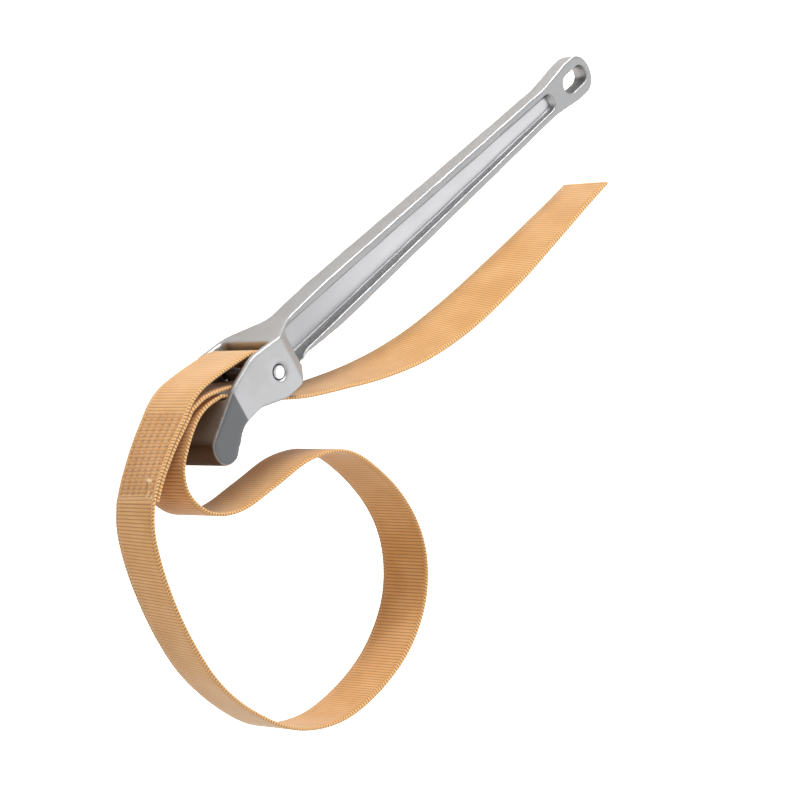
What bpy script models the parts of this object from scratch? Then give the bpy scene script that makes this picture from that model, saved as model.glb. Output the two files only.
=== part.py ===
"""Strap wrench: cast handle with a forked head, a steel pin, and a woven strap that is sewn round
the pin, runs out into a loop for the work, comes back through the head's throat and ends in a tail.

Frame: +X runs from the head to the hang hole, +Z along the strap pin. The origin lies on the flat
outer face of the lower cheek, ahead of the pin.
"""
import math

import bmesh
import bpy
from mathutils import Vector

MM = 0.001

# ---- overall sizes, millimetres ----
HEEL_REACH = 73.5          # pin axis to the heel's tip
HANDLE_REACH = 383.7       # pin axis to the far end of the handle
STRAP_WIDTH = 44.45        # 1-3/4 in webbing
STRAP_THICKNESS = 2.6
SLOT_SIDE_CLEARANCE = 1.2  # strap edge to cheek
CHEEK_THICKNESS = 5.075
PIN_DIAMETER = 9.5
ORIGIN_AHEAD_OF_PIN = 20.0 # the frame's origin, on the cheek's face
FACE_GAP = 0.3             # between faces that touch
SLOT_WIDTH = STRAP_WIDTH + 2 * SLOT_SIDE_CLEARANCE
HEAD_WIDTH = SLOT_WIDTH + 2 * CHEEK_THICKNESS

# ---- handle ----
HANDLE_OFFSET = 1.3        # the handle's middle line above the pin
HANDLE_ROOT_X = 80.0       # where the straight handle starts
HANDLE_ROOT_WIDTH = 32.2
WAIST_TO_END = 48.7        # narrowest place, before the hang hole's eye, from the handle's end
HANDLE_WAIST_X = HANDLE_REACH - WAIST_TO_END
HANDLE_WAIST_WIDTH = 22.4
HANDLE_ROOT_THICKNESS = 20.4
HANDLE_END_THICKNESS = 12.6
EYE_WIDTH = 29.4           # rounded end round the hang hole
EYE_CORNER = 13.0
EYE_LENGTH = 21.0          # where the eye reaches its full width, from its end
HOLE_LENGTH = 24.2
HOLE_WIDTH = 12.2
HOLE_END_WALL = 5.6        # hang hole to the end of the handle
HOLE_END_FLAT = 0.05       # the hole's ends are round but for this much
CAST_EDGE = 2.4            # rounding of the casting's outer edges

# ---- recesses in the handle's two faces ----
WEB_THICKNESS = 5.0
RECESS_START_X = 27.0
RECESS_TO_END = 44.7
RECESS_END_X = HANDLE_REACH - RECESS_TO_END
FLANGE_ROOT = 6.4          # width of each flange at the handle's root
FLANGE_END = 4.6
RECESS_CORNER = 4.5
RECESS_DRAFT = 1.3         # the walls lean in by this much at the web
RECESS_DRAFT_DEPTH = 5.0   # over this depth

# ---- head; a corner is x, y from the pin and the radius that rounds it ----
CHEEK_TOP = 21.5           # above the pin
CHEEK_BOTTOM = 18.3        # below the pin
CHEEK_REAR_X = 13.5        # where the cheeks stop and the neck starts to narrow
NECK_END_X = 39.0
NECK_BOTTOM = 11.6         # below the pin, just behind the cheeks
NECK_TOP = 16.5
CHEEK_FRONT_X = -40.0      # forward of this the heel's sides taper
HEEL_TIP_WIDTH = 50.0
HEEL_BOTTOM = 27.0         # below the pin
HEEL_TIP_CORNER = 9.0
HEEL_FOOT_LENGTH = 13.5    # flat underside of the heel, from its tip
HEEL_FOOT_X = -HEEL_REACH + HEEL_FOOT_LENGTH
HEEL_FOOT_CORNER = 8.0
BELLY_START = 16.0         # heel's flat underside to the arch's front
BELLY_LENGTH = 18.0
BELLY_FRONT = (HEEL_FOOT_X + BELLY_START, -11.6, 14.0)   # the arch between the heel and the cheeks
BELLY_REAR = (HEEL_FOOT_X + BELLY_START + BELLY_LENGTH, -10.4, 14.0)
CHEEK_FOOT_X = -4.0        # the cheeks' flat underside starts here
CHEEK_FOOT_CORNER = 8.0
CHEEK_REAR_CORNER = 7.0
NECK_STEP = 10.0           # the neck reaches its depth this far behind the cheeks
NECK_CORNER = 8.0
HANDLE_BLEND = 60.0        # radii where the handle meets the neck, its waist and its eye
WAIST_BLEND = 40.0
EYE_BLEND = 18.0
SHOULDER_X = 8.0           # the cheeks' upper edge drops to the neck from here
SHOULDER_DROP = 1.8
SHOULDER_BLEND = 24.0
CREST_X = -14.0            # highest place of the cheeks
CREST_BLEND = 22.0
BROW = (-38.0, 14.0, 16.0) # the upper edge turns down to the heel's tip
HEEL_TIP_TOP = (-9.0, 10.0)          # height at the heel's tip, and its radius
HEAD_CORNER = 8.0          # seen from above, where the cheeks end and the neck begins
NECK_FLARE_BLEND = 18.0
EYE_ROOM = 1.85            # strap's eye to the fork's end wall
SLOT_CORNER = 5.2
SLOT_END_X = PIN_DIAMETER / 2 + FACE_GAP + STRAP_THICKNESS + EYE_ROOM
SLOT_MOUTH_X = SLOT_END_X - 2.2   # the end wall leans over the eye
SLOT_LEAN_STARTS_Y = 3.0
SLOT_MOUTH_DROP = 5.0      # the lean stops this far below the cheeks' top
SLOT_BLEND = 20.0
HEEL_RAMP_START = 3.0      # the heel's upper face, along the strap from the throat's entry
HEEL_RAMP_LENGTH = 36.0
HEEL_CREST_CORNER = 5.0
HEEL_FRONT = ((-9.0, 2.0), 12.0)     # the face ahead of the crest: its break, then its rise
PIN_HOLE_CHAMFER = 1.2
PIN_CHAMFER = 0.6
PIN_RECESS = 0.5           # pin ends below the cheeks' faces
ROUND_SIDES = 32
CUT_OVERRUN = 5.0          # a cutting shape goes this far past what it cuts
CUT_HEADROOM = 20.0
DRILL_OVERRUN = 1.0

# ---- strap ----
THROAT_ENTRY = (-44.4, 12.0)   # middle of the strap where it enters the throat
THROAT_ANGLE = -37.0           # direction of the strap through the throat, degrees
THROAT_LENGTH = 46.0
HEEL_CLEARANCE = 0.7           # strap to the heel's upper face
LAYER_GAP = 0.3                # between the two sewn layers
EYE_LEAVES = 20.0              # angle on the pin where the outer layer leaves it
EYE_RETURNS = -118.0           # angle on the pin where the folded-under layer leaves it
LAP_START_X = -70.0            # the two layers lie together forward of this
LAP_END = (-127.5, -12.6)      # middle of the outer layer just past the raw end
LAP_END_ANGLE = -132.0         # heading of the strap there, degrees
RAW_END_SETBACK = 5.0          # raw end of the folded layer, before the lap's end
LOOP_SPLIT = (-40.0, -62.0)    # the loop and the way back to the head meet here
STITCH_ROWS = 6
STITCH_MARGIN = 4.6            # outermost row to the strap's edge
THREAD_WIDTH = 0.9
THREAD_HEIGHT = 0.5
STITCH_START = 6.0             # first stitch after the layers meet
STITCH_STOP = 1.0              # last stitch before the raw end
TAIL_LEAN = 5.0                # the tail's edges stand this much to either side of its middle
LEG_LEAN = 2.4                 # and so do those of the loop's leg beside the lap
LEG_LEAN_STARTS_X = -70.0
LEG_LEAN_ENDS_Y = -215.0
LEG_LEAN_FADE = 70.0           # length over which it dies out
TAIL_LEAN_SHAPE = 1.5          # how gently the tail's lean starts and ends

# the strap's middle line, from the pin
EYE_RISE = 6.0                 # straight run where the outer layer leaves the pin
EYE_RETURN_RUN = 12.0          # and where the folded layer does
OUTER_POINTS = [
    (0.6, 15.2), (-5.5, 19.4), (-15.0, 21.8), (-30.0, 23.9), (-45.0, 25.3), (-57.0, 25.3),
    (-68.0, 22.6), (-79.0, 17.4), (-93.0, 10.7), (-105.5, 3.5), (-117.0, -4.0), LAP_END,
]
FOLDED_POINTS = [(-30.0, 9.4), (-44.0, 15.9), (-57.0, 19.3)]
LOOP_POINTS = [
    LAP_END, (-136.6, -25.0), (-144.0, -44.0), (-149.8, -70.0), (-152.8, -103.0),
    (-150.3, -138.0), (-138.0, -173.0), (-117.0, -204.0), (-84.0, -223.5), (-45.0, -228.2),
    (-8.0, -222.0), (23.0, -204.0), (42.0, -177.0), (47.4, -148.0), (41.0, -113.0),
    (24.0, -81.0), (-4.0, -66.0), (-40.0, -62.0), (-74.0, -57.5), (-95.0, -44.5),
    (-102.9, -24.0), (-97.5, -8.4), (-84.0, 3.2), (-70.0, 11.2), (-58.0, 13.8),
]
ENTRY_RUN = (6.0, -10.0)       # last stretch before the throat: its length and heading
TAIL_POINTS = [
    (14.0, -28.8), (45.0, -42.2), (80.0, -56.0), (118.0, -67.0), (160.0, -73.2),
    (215.0, -74.8), (275.0, -72.6), (337.7, -69.4),
]

STATION = 5.0                  # spacing of the strap's cross-sections
FINE_STATION = 2.2
TAIL_STATION = 8.0
STITCH_STATION = 6.0
TRIM_STATION = 0.5
CURVE_STEPS = 24               # points between two given ones, before even spacing
EYE_STEPS = 22                 # facets of the strap's turn round the pin
NOSE_ANGLES = (120.0, 150.0, 180.0, 210.0, 240.0)   # the tail's half-round end


def clear_scene():
    for obj in list(bpy.data.objects):
        bpy.data.objects.remove(obj, do_unlink=True)


def material(name, colour, roughness, metallic):
    mat = bpy.data.materials.new(name)
    mat.use_nodes = True
    shader = mat.node_tree.nodes["Principled BSDF"]
    shader.inputs["Base Color"].default_value = (*colour, 1.0)
    shader.inputs["Roughness"].default_value = roughness
    shader.inputs["Metallic"].default_value = metallic
    return mat


def rounded_outline(corners, step_deg=15.0):
    """Closed outline through corners (x, y, radius), each corner turned into an arc."""
    points = []
    count = len(corners)
    for i, (x, y, radius) in enumerate(corners):
        here = Vector((x, y))
        before = (Vector(corners[i - 1][:2]) - here).normalized()
        after = (Vector(corners[(i + 1) % count][:2]) - here).normalized()
        half = before.angle(after) / 2
        if radius <= 0 or math.pi / 2 - half < 0.01:
            points.append(here)
            continue
        reach = radius / math.tan(half)
        centre = here + (before + after).normalized() * radius / math.sin(half)
        start = here + before * reach - centre
        sweep = math.pi - 2 * half
        turn = 1.0 if before.x * after.y - before.y * after.x < 0 else -1.0
        steps = max(1, math.ceil(math.degrees(sweep) / step_deg))
        for k in range(steps + 1):
            angle = turn * sweep * k / steps
            c, s = math.cos(angle), math.sin(angle)
            points.append(centre + Vector((c * start.x - s * start.y, s * start.x + c * start.y)))
    return points


def prism(name, outline, low, high, place, upper=None):
    """Solid between an outline and a copy, or upper; place turns (u, v, w) into x, y, z."""
    bm = bmesh.new()
    bottom = [bm.verts.new(place(p[0], p[1], low)) for p in outline]
    top = [bm.verts.new(place(p[0], p[1], high)) for p in upper or outline]
    bm.faces.new(bottom)
    bm.faces.new(reversed(top))
    for i in range(len(outline)):
        j = (i + 1) % len(outline)
        bm.faces.new((bottom[j], bottom[i], top[i], top[j]))
    bmesh.ops.recalc_face_normals(bm, faces=bm.faces)
    return finish_mesh(name, bm)


def finish_mesh(name, bm):
    mesh = bpy.data.meshes.new(name)
    bm.to_mesh(mesh)
    bm.free()
    obj = bpy.data.objects.new(name, mesh)
    bpy.context.scene.collection.objects.link(obj)
    return obj


def along_z(u, v, w):
    return Vector((u, v, w)) * MM


def along_y(u, v, w):
    return Vector((u, w, v)) * MM


def helper(obj):
    obj.hide_render = True
    obj.display_type = "WIRE"
    return obj


def boolean(obj, tool, operation):
    mod = obj.modifiers.new(operation.title(), "BOOLEAN")
    mod.operation = operation
    mod.solver = "EXACT"
    mod.object = helper(tool)


def line_value(x, x0, v0, x1, v1):
    return v0 + (v1 - v0) * (x - x0) / (x1 - x0)


def handle_half_width(x):
    return line_value(x, HANDLE_ROOT_X, HANDLE_ROOT_WIDTH / 2,
                      HANDLE_WAIST_X, HANDLE_WAIST_WIDTH / 2)


def handle_half_thickness(x):
    return line_value(x, NECK_END_X, HANDLE_ROOT_THICKNESS / 2,
                      HANDLE_REACH, HANDLE_END_THICKNESS / 2)


def casting_side_outline():
    """The casting seen along the pin, counter-clockwise from the heel's tip."""
    mid = HANDLE_OFFSET
    root = HANDLE_ROOT_WIDTH / 2
    waist = HANDLE_WAIST_WIDTH / 2
    eye = EYE_WIDTH / 2
    eye_x = HANDLE_REACH - EYE_LENGTH
    return rounded_outline([
        (-HEEL_REACH, -HEEL_BOTTOM, HEEL_TIP_CORNER),
        (HEEL_FOOT_X, -HEEL_BOTTOM, HEEL_FOOT_CORNER),
        BELLY_FRONT,
        BELLY_REAR,
        (CHEEK_FOOT_X, -CHEEK_BOTTOM, CHEEK_FOOT_CORNER),
        (CHEEK_REAR_X, -CHEEK_BOTTOM, CHEEK_REAR_CORNER),
        (CHEEK_REAR_X + NECK_STEP, -NECK_BOTTOM, NECK_CORNER),
        (HANDLE_ROOT_X, mid - root, HANDLE_BLEND),
        (HANDLE_WAIST_X, mid - waist, WAIST_BLEND),
        (eye_x, mid - eye, EYE_BLEND),
        (HANDLE_REACH, mid - eye, EYE_CORNER),
        (HANDLE_REACH, mid + eye, EYE_CORNER),
        (eye_x, mid + eye, EYE_BLEND),
        (HANDLE_WAIST_X, mid + waist, WAIST_BLEND),
        (HANDLE_ROOT_X, mid + root, HANDLE_BLEND),
        (NECK_END_X, NECK_TOP, WAIST_BLEND),
        (SHOULDER_X, CHEEK_TOP - SHOULDER_DROP, SHOULDER_BLEND),
        (CREST_X, CHEEK_TOP, CREST_BLEND),
        BROW,
        (-HEEL_REACH, *HEEL_TIP_TOP),
    ])


def casting_plan_outline():
    """The casting seen from above the handle's edge: x against the distance from its middle."""
    head = HEAD_WIDTH / 2
    rear = HANDLE_REACH + CUT_OVERRUN
    front = -HEEL_REACH - CUT_OVERRUN
    tip = line_value(front, CHEEK_FRONT_X, head, -HEEL_REACH, HEEL_TIP_WIDTH / 2)
    upper = [
        (rear, handle_half_thickness(rear), 0.0),
        (NECK_END_X, handle_half_thickness(NECK_END_X), NECK_FLARE_BLEND),
        (CHEEK_REAR_X, head, HEAD_CORNER),
        (CHEEK_FRONT_X, head, 0.0),
        (front, tip, 0.0),
    ]
    lower = [(x, -w, r) for x, w, r in reversed(upper)]
    return rounded_outline(upper + lower)


def slot_outline():
    """What the fork removes between the cheeks: above the heel and through the throat."""
    heading = math.radians(THROAT_ANGLE)
    along = Vector((math.cos(heading), math.sin(heading)))
    below = Vector((math.sin(heading), -math.cos(heading)))
    seat = Vector(THROAT_ENTRY) + below * (STRAP_THICKNESS / 2 + HEEL_CLEARANCE)
    crest = seat + along * HEEL_RAMP_START
    foot = seat + along * HEEL_RAMP_LENGTH
    (break_x, break_y), front_rise = HEEL_FRONT
    above = CHEEK_TOP + CUT_HEADROOM
    beneath = -HEEL_BOTTOM - CUT_OVERRUN
    return rounded_outline([
        (SLOT_END_X, SLOT_LEAN_STARTS_Y, SLOT_BLEND),
        (SLOT_MOUTH_X, CHEEK_TOP - SLOT_MOUTH_DROP, SLOT_BLEND),
        (SLOT_MOUTH_X, above, 0.0),
        (-HEEL_REACH, above, 0.0),
        (-HEEL_REACH, crest.y + front_rise, 0.0),
        (crest.x + break_x, crest.y + break_y, 0.0),
        (crest.x, crest.y, HEEL_CREST_CORNER),
        (foot.x, foot.y, 0.0),
        (foot.x, beneath, 0.0),
        (SLOT_END_X, beneath, 0.0),
    ])


def slot_plan():
    """The slot seen from above: its two inner corners are rounded."""
    half = SLOT_WIDTH / 2
    return rounded_outline([
        (-HEEL_REACH - CUT_OVERRUN, -half, 0.0),
        (SLOT_END_X, -half, SLOT_CORNER),
        (SLOT_END_X, half, SLOT_CORNER),
        (-HEEL_REACH - CUT_OVERRUN, half, 0.0),
    ])


def recess_outline(inset):
    """Recess between the two flanges; it narrows with the handle."""
    mid = HANDLE_OFFSET
    start = handle_half_width(RECESS_START_X) - FLANGE_ROOT - inset
    end = handle_half_width(RECESS_END_X) - FLANGE_END - inset
    first = RECESS_START_X + inset
    last = RECESS_END_X - 2 * inset
    return rounded_outline([
        (first, mid - start, RECESS_CORNER),
        (last, mid - end, RECESS_CORNER),
        (last, mid + end, RECESS_CORNER),
        (first, mid + start, RECESS_CORNER),
    ])


def hang_hole_outline():
    end = HANDLE_REACH - HOLE_END_WALL
    half = HOLE_WIDTH / 2
    mid = HANDLE_OFFSET
    corner = half - HOLE_END_FLAT
    return rounded_outline([
        (end - HOLE_LENGTH, mid - half, corner),
        (end, mid - half, corner),
        (end, mid + half, corner),
        (end - HOLE_LENGTH, mid + half, corner),
    ])


def turned(name, profile, sides):
    """Solid of revolution about Z through (radius, z) pairs, closed at both ends by caps."""
    bm = bmesh.new()
    rings = []
    for radius, z in profile:
        rings.append([bm.verts.new(along_z(radius * math.cos(2 * math.pi * k / sides),
                                           radius * math.sin(2 * math.pi * k / sides), z))
                      for k in range(sides)])
    for low, high in zip(rings, rings[1:]):
        for k in range(sides):
            m = (k + 1) % sides
            bm.faces.new((low[k], low[m], high[m], high[k]))
    bm.faces.new(reversed(rings[0]))
    bm.faces.new(rings[-1])
    bmesh.ops.recalc_face_normals(bm, faces=bm.faces)
    obj = finish_mesh(name, bm)
    obj.data.shade_smooth()
    obj.data.set_sharp_from_angle(angle=math.radians(35))
    return obj


def build_casting(frame, mat):
    head = HEAD_WIDTH / 2
    top = CHEEK_TOP + CUT_HEADROOM
    casting = prism("handle_casting", casting_side_outline(), -head - CUT_OVERRUN,
                    head + CUT_OVERRUN, along_z)
    casting.data.materials.append(mat)
    casting.parent = frame
    flare = prism("neck_envelope", casting_plan_outline(), -top, top, along_y)
    boolean(casting, flare, "INTERSECT")
    bevel = casting.modifiers.new("Cast edges", "BEVEL")
    bevel.width = CAST_EDGE * MM
    bevel.segments = 2
    bevel.limit_method = "ANGLE"
    bevel.angle_limit = math.radians(50)
    tools = [flare]
    slot = prism("fork_cutter", slot_outline(), -head, head, along_z)
    plan = prism("fork_plan_cutter", slot_plan(), -2 * top, 2 * top, along_y)
    boolean(slot, plan, "INTERSECT")
    tools += [slot, plan]
    boolean(casting, slot, "DIFFERENCE")
    web = WEB_THICKNESS / 2
    widening = RECESS_DRAFT * (1.0 - (head - web) / RECESS_DRAFT_DEPTH)
    for side in (1, -1):
        tool = prism(f"recess_cutter_{side}", recess_outline(RECESS_DRAFT), side * web,
                     side * head, along_z, recess_outline(widening))
        tools.append(tool)
        boolean(casting, tool, "DIFFERENCE")
    hole = prism("hang_hole_cutter", hang_hole_outline(), -head, head, along_z)
    tools.append(hole)
    boolean(casting, hole, "DIFFERENCE")
    bore = PIN_DIAMETER / 2 + FACE_GAP
    flared = bore + PIN_HOLE_CHAMFER + DRILL_OVERRUN
    drill = turned("pin_hole_cutter", [
        (flared, -head - DRILL_OVERRUN),
        (bore, -head + PIN_HOLE_CHAMFER),
        (bore, head - PIN_HOLE_CHAMFER),
        (flared, head + DRILL_OVERRUN),
    ], ROUND_SIDES)
    tools.append(drill)
    boolean(casting, drill, "DIFFERENCE")
    for tool in tools:
        tool.parent = frame


def build_pin(frame, mat):
    half = HEAD_WIDTH / 2 - PIN_RECESS
    radius = PIN_DIAMETER / 2
    pin = turned("strap_pin", [
        (radius - PIN_CHAMFER, -half),
        (radius, -half + PIN_CHAMFER),
        (radius, half - PIN_CHAMFER),
        (radius - PIN_CHAMFER, half),
    ], ROUND_SIDES)
    pin.data.materials.append(mat)
    pin.parent = frame


def smooth_path(points, spacing):
    """Points at even spacing along a centripetal Catmull-Rom curve through the given ones."""
    pts = [Vector(p) for p in points]
    pts = [pts[0] * 2 - pts[1]] + pts + [pts[-1] * 2 - pts[-2]]
    dense = []
    for i in range(1, len(pts) - 2):
        p0, p1, p2, p3 = pts[i - 1:i + 3]
        t0 = 0.0
        t1 = t0 + (p1 - p0).length ** 0.5
        t2 = t1 + (p2 - p1).length ** 0.5
        t3 = t2 + (p3 - p2).length ** 0.5
        for k in range(CURVE_STEPS):
            t = t1 + (t2 - t1) * k / CURVE_STEPS
            a1 = p0 * ((t1 - t) / (t1 - t0)) + p1 * ((t - t0) / (t1 - t0))
            a2 = p1 * ((t2 - t) / (t2 - t1)) + p2 * ((t - t1) / (t2 - t1))
            a3 = p2 * ((t3 - t) / (t3 - t2)) + p3 * ((t - t2) / (t3 - t2))
            b1 = a1 * ((t2 - t) / (t2 - t0)) + a2 * ((t - t0) / (t2 - t0))
            b2 = a2 * ((t3 - t) / (t3 - t1)) + a3 * ((t - t1) / (t3 - t1))
            dense.append(b1 * ((t2 - t) / (t2 - t1)) + b2 * ((t - t1) / (t2 - t1)))
    dense.append(pts[-2])
    return resample(dense, spacing)


def path_length(path):
    return sum((b - a).length for a, b in zip(path, path[1:]))


def resample(path, spacing):
    total = path_length(path)
    steps = max(2, round(total / spacing))
    out = []
    travelled = 0.0
    index = 0
    for k in range(steps + 1):
        target = total * k / steps
        while index < len(path) - 2 and travelled + (path[index + 1] - path[index]).length < target:
            travelled += (path[index + 1] - path[index]).length
            index += 1
        segment = path[index + 1] - path[index]
        share = (target - travelled) / max(segment.length, 1e-9)
        out.append(path[index] + segment * min(share, 1.0))
    return out


def path_normals(path, first_deg=None, last_deg=None):
    """Unit normals to the left of travel; the headings at the ends may be set, in degrees."""
    out = []
    for i in range(len(path)):
        tangent = (path[min(i + 1, len(path) - 1)] - path[max(i - 1, 0)]).normalized()
        out.append(Vector((-tangent.y, tangent.x)))
    for index, degrees in ((0, first_deg), (-1, last_deg)):
        if degrees is not None:
            heading = math.radians(degrees)
            out[index] = Vector((-math.sin(heading), math.cos(heading)))
    return out


def offset_path(path, distance):
    return [p + n * distance for p, n in zip(path, path_normals(path))]


def trim_path(path, start, end):
    """The stretch of a path between two distances along it; end counts from the far end."""
    total = path_length(path)
    fine = resample(path, TRIM_STATION)
    step = total / (len(fine) - 1)
    return fine[round(start / step):len(fine) - round(end / step)]


def ribbon(name, path, width, thickness, frame, mat, normals=None, leans=None):
    """Band of woven strap along a path: its width runs along Z, and leans shift its upper edge
    one way and its lower edge the other."""
    side = normals or path_normals(path)
    shifts = leans or [Vector((0.0, 0.0))] * len(path)
    bm = bmesh.new()
    rows = []
    for p, n, lean in zip(path, side, shifts):
        left = p + n * thickness / 2
        right = p - n * thickness / 2
        rows.append([bm.verts.new(along_z(*(q + lean * edge), edge * width / 2))
                     for q, edge in ((right, -1), (right, 1), (left, 1), (left, -1))])
    for a, b in zip(rows, rows[1:]):
        for k in range(4):
            m = (k + 1) % 4
            bm.faces.new((a[k], a[m], b[m], b[k]))
    bm.faces.new(reversed(rows[0]))
    bm.faces.new(rows[-1])
    bmesh.ops.recalc_face_normals(bm, faces=bm.faces)
    obj = finish_mesh(name, bm)
    obj.data.materials.append(mat)
    obj.parent = frame
    return obj


def arc(radius, start_deg, end_deg, steps):
    return [Vector((radius * math.cos(math.radians(start_deg + (end_deg - start_deg) * k / steps)),
                    radius * math.sin(math.radians(start_deg + (end_deg - start_deg) * k / steps))))
            for k in range(steps + 1)]


def smooth_step(value):
    share = min(max(value, 0.0), 1.0)
    return share * share * (3 - 2 * share)


def lap_leans(path, outer):
    """Lean of each cross-section at the lap, square to the nearest part of the outer layer."""
    normals = path_normals(outer, None, LAP_END_ANGLE)
    reach = LEG_LEAN_STARTS_X - LAP_END[0]
    out = []
    for p in path:
        near = min(range(len(outer)), key=lambda i: (outer[i] - p).length)
        share = smooth_step((LEG_LEAN_STARTS_X - outer[near].x) / reach)
        out.append(normals[near] * -LEG_LEAN * share)
    return out


def leg_leans(path):
    """Lean of the loop's leg: full beside the lap, none by the loop's lowest part."""
    out = []
    left = True
    for p, n in zip(path, path_normals(path, LAP_END_ANGLE)):
        left = left and p.y > LEG_LEAN_ENDS_Y
        share = smooth_step((p.y - LEG_LEAN_ENDS_Y) / LEG_LEAN_FADE) if left else 0.0
        out.append(n * -LEG_LEAN * share)
    return out


def outer_layer_route():
    """Middle of the outer layer, from where it leaves the pin to the end of the sewn lap."""
    radius = PIN_DIAMETER / 2 + FACE_GAP + STRAP_THICKNESS / 2
    leave = arc(radius, EYE_LEAVES, EYE_LEAVES, 1)[0]
    heading = math.radians(EYE_LEAVES + 90)
    rise = leave + Vector((math.cos(heading), math.sin(heading))) * EYE_RISE
    return smooth_path([leave, rise] + OUTER_POINTS, FINE_STATION)


def folded_layer_route(outer):
    """Middle of the folded-under layer: lap, way back to the pin, and the turn round the pin."""
    pitch = STRAP_THICKNESS + LAYER_GAP
    lap_outer = [p for p in outer if p.x < LAP_START_X]
    lap = offset_path(lap_outer, pitch)
    lap = trim_path(lap, 0.0, RAW_END_SETBACK)
    radius = PIN_DIAMETER / 2 + FACE_GAP + STRAP_THICKNESS / 2
    turn = arc(radius, EYE_RETURNS, EYE_LEAVES, EYE_STEPS)
    heading = math.radians(EYE_RETURNS - 90)
    away = turn[0] + Vector((math.cos(heading), math.sin(heading))) * EYE_RETURN_RUN
    middle = smooth_path([turn[0], away] + FOLDED_POINTS + [lap[2]], FINE_STATION)
    back = list(reversed(lap))[:-2] + list(reversed(middle))[:-1]
    return back + turn[:-1]


def loop_route():
    """Middle of the strap from the lap's end, round the work, to the throat's entry."""
    entry = Vector(THROAT_ENTRY)
    run, degrees = ENTRY_RUN
    heading = math.radians(degrees)
    before = entry - Vector((math.cos(heading), math.sin(heading))) * run
    return smooth_path(LOOP_POINTS + [before, entry], STATION)


def build_strap(swivel, draw, webbing):
    """Eye, loop, way back and throat; returns the outer layer's route and the throat's far end."""
    outer = outer_layer_route()
    folded = folded_layer_route(outer)
    whole = folded + outer
    leans = lap_leans(whole, outer)
    ribbon("strap_eye", shorten(whole, 0.0, FACE_GAP / 2), STRAP_WIDTH, STRAP_THICKNESS,
           swivel, webbing, path_normals(whole, None, LAP_END_ANGLE), leans)
    loop = loop_route()
    split = min(range(len(loop)), key=lambda i: (loop[i] - Vector(LOOP_SPLIT)).length)
    first = shorten(loop[:split + 1], FACE_GAP / 2, FACE_GAP / 2)
    second = shorten(loop[split:], FACE_GAP / 2, 0.0)
    ribbon("strap_loop", first, STRAP_WIDTH, STRAP_THICKNESS, swivel, webbing,
           path_normals(first, LAP_END_ANGLE), leg_leans(first))
    ribbon("strap_return", second, STRAP_WIDTH, STRAP_THICKNESS, swivel, webbing,
           path_normals(second, None, THROAT_ANGLE))
    heading = math.radians(THROAT_ANGLE)
    along = Vector((math.cos(heading), math.sin(heading)))
    entry = Vector(THROAT_ENTRY)
    throat = resample([entry + along * FACE_GAP, entry + along * THROAT_LENGTH], STATION)
    ribbon("strap_throat", throat, STRAP_WIDTH, STRAP_THICKNESS, draw, webbing)
    return outer, entry + along * THROAT_LENGTH


def shorten(path, start, end):
    """Move the first and last points inwards."""
    out = list(path)
    if start:
        out[0] = out[0] + (out[1] - out[0]).normalized() * start
    if end:
        out[-1] = out[-1] + (out[-2] - out[-1]).normalized() * end
    return out


def build_tail(hinge_at, tail, mat):
    """The tail: its first cross-section is a half round about the bending axis."""
    route = [p - hinge_at for p in smooth_path([hinge_at] + TAIL_POINTS, TAIL_STATION)]
    half = STRAP_THICKNESS / 2
    start = (route[1] - route[0]).normalized()
    normals = path_normals(route)
    bm = bmesh.new()
    left = [p + n * half for p, n in zip(route, normals)]
    right = [p - n * half for p, n in zip(route, normals)]
    first = math.atan2(start.y, start.x)
    nose = [Vector((half * math.cos(first + math.radians(a)), half * math.sin(first + math.radians(a))))
            for a in NOSE_ANGLES]
    rows = []
    pairs = list(zip(left, right))
    tip = nose[2]
    rings = [(nose[1], nose[3]), (nose[0], nose[4])] + pairs
    none = Vector((0.0, 0.0))
    last = len(route) - 1
    leans = [none, none]
    for i, n in enumerate(normals):
        leans.append(n * TAIL_LEAN * max(math.sin(math.pi * i / last), 0.0) ** TAIL_LEAN_SHAPE)
    for side in (-1, 1):
        z = side * STRAP_WIDTH / 2
        level = [bm.verts.new(along_z(tip.x, tip.y, z))]
        for pair, lean in zip(rings, leans):
            shifted = [q - lean * side for q in pair]
            level.append(tuple(bm.verts.new(along_z(q.x, q.y, z)) for q in shifted))
        rows.append(level)
    low, high = rows
    for level in rows:
        bm.faces.new((level[0], level[1][0], level[1][1]))
        for a, b in zip(level[1:], level[2:]):
            bm.faces.new((a[0], b[0], b[1], a[1]))
    for side in (0, 1):
        bm.faces.new((low[0], low[1][side], high[1][side], high[0]))
        for a, b, c, d in zip(low[1:], low[2:], high[2:], high[1:]):
            bm.faces.new((a[side], b[side], c[side], d[side]))
    bm.faces.new((low[-1][0], low[-1][1], high[-1][1], high[-1][0]))
    bmesh.ops.recalc_face_normals(bm, faces=bm.faces)
    obj = finish_mesh("strap_tail", bm)
    obj.data.materials.append(mat)
    obj.parent = tail


def build_stitches(swivel, outer, mat):
    """Rows of thread on both faces of the lap, clear of the webbing by the face gap."""
    pitch = STRAP_THICKNESS + LAYER_GAP
    lap = [p for p in outer if p.x < LAP_START_X]
    lap = trim_path(lap, STITCH_START, RAW_END_SETBACK + STITCH_STOP)
    lap = resample(lap, STITCH_STATION)
    proud = STRAP_THICKNESS / 2 + FACE_GAP + THREAD_HEIGHT / 2
    spread = STRAP_WIDTH - 2 * STITCH_MARGIN
    for face, shift in (("outer", -proud), ("inner", pitch + proud)):
        run = offset_path(lap, shift)
        for row in range(STITCH_ROWS):
            height = -spread / 2 + spread * row / (STITCH_ROWS - 1)
            leaning = [p + lean * height * 2 / STRAP_WIDTH
                       for p, lean in zip(run, lap_leans(lap, outer))]
            obj = ribbon(f"stitch_{face}_{row + 1}", leaning, THREAD_WIDTH, THREAD_HEIGHT,
                         swivel, mat)
            obj.location.z = height * MM


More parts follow.
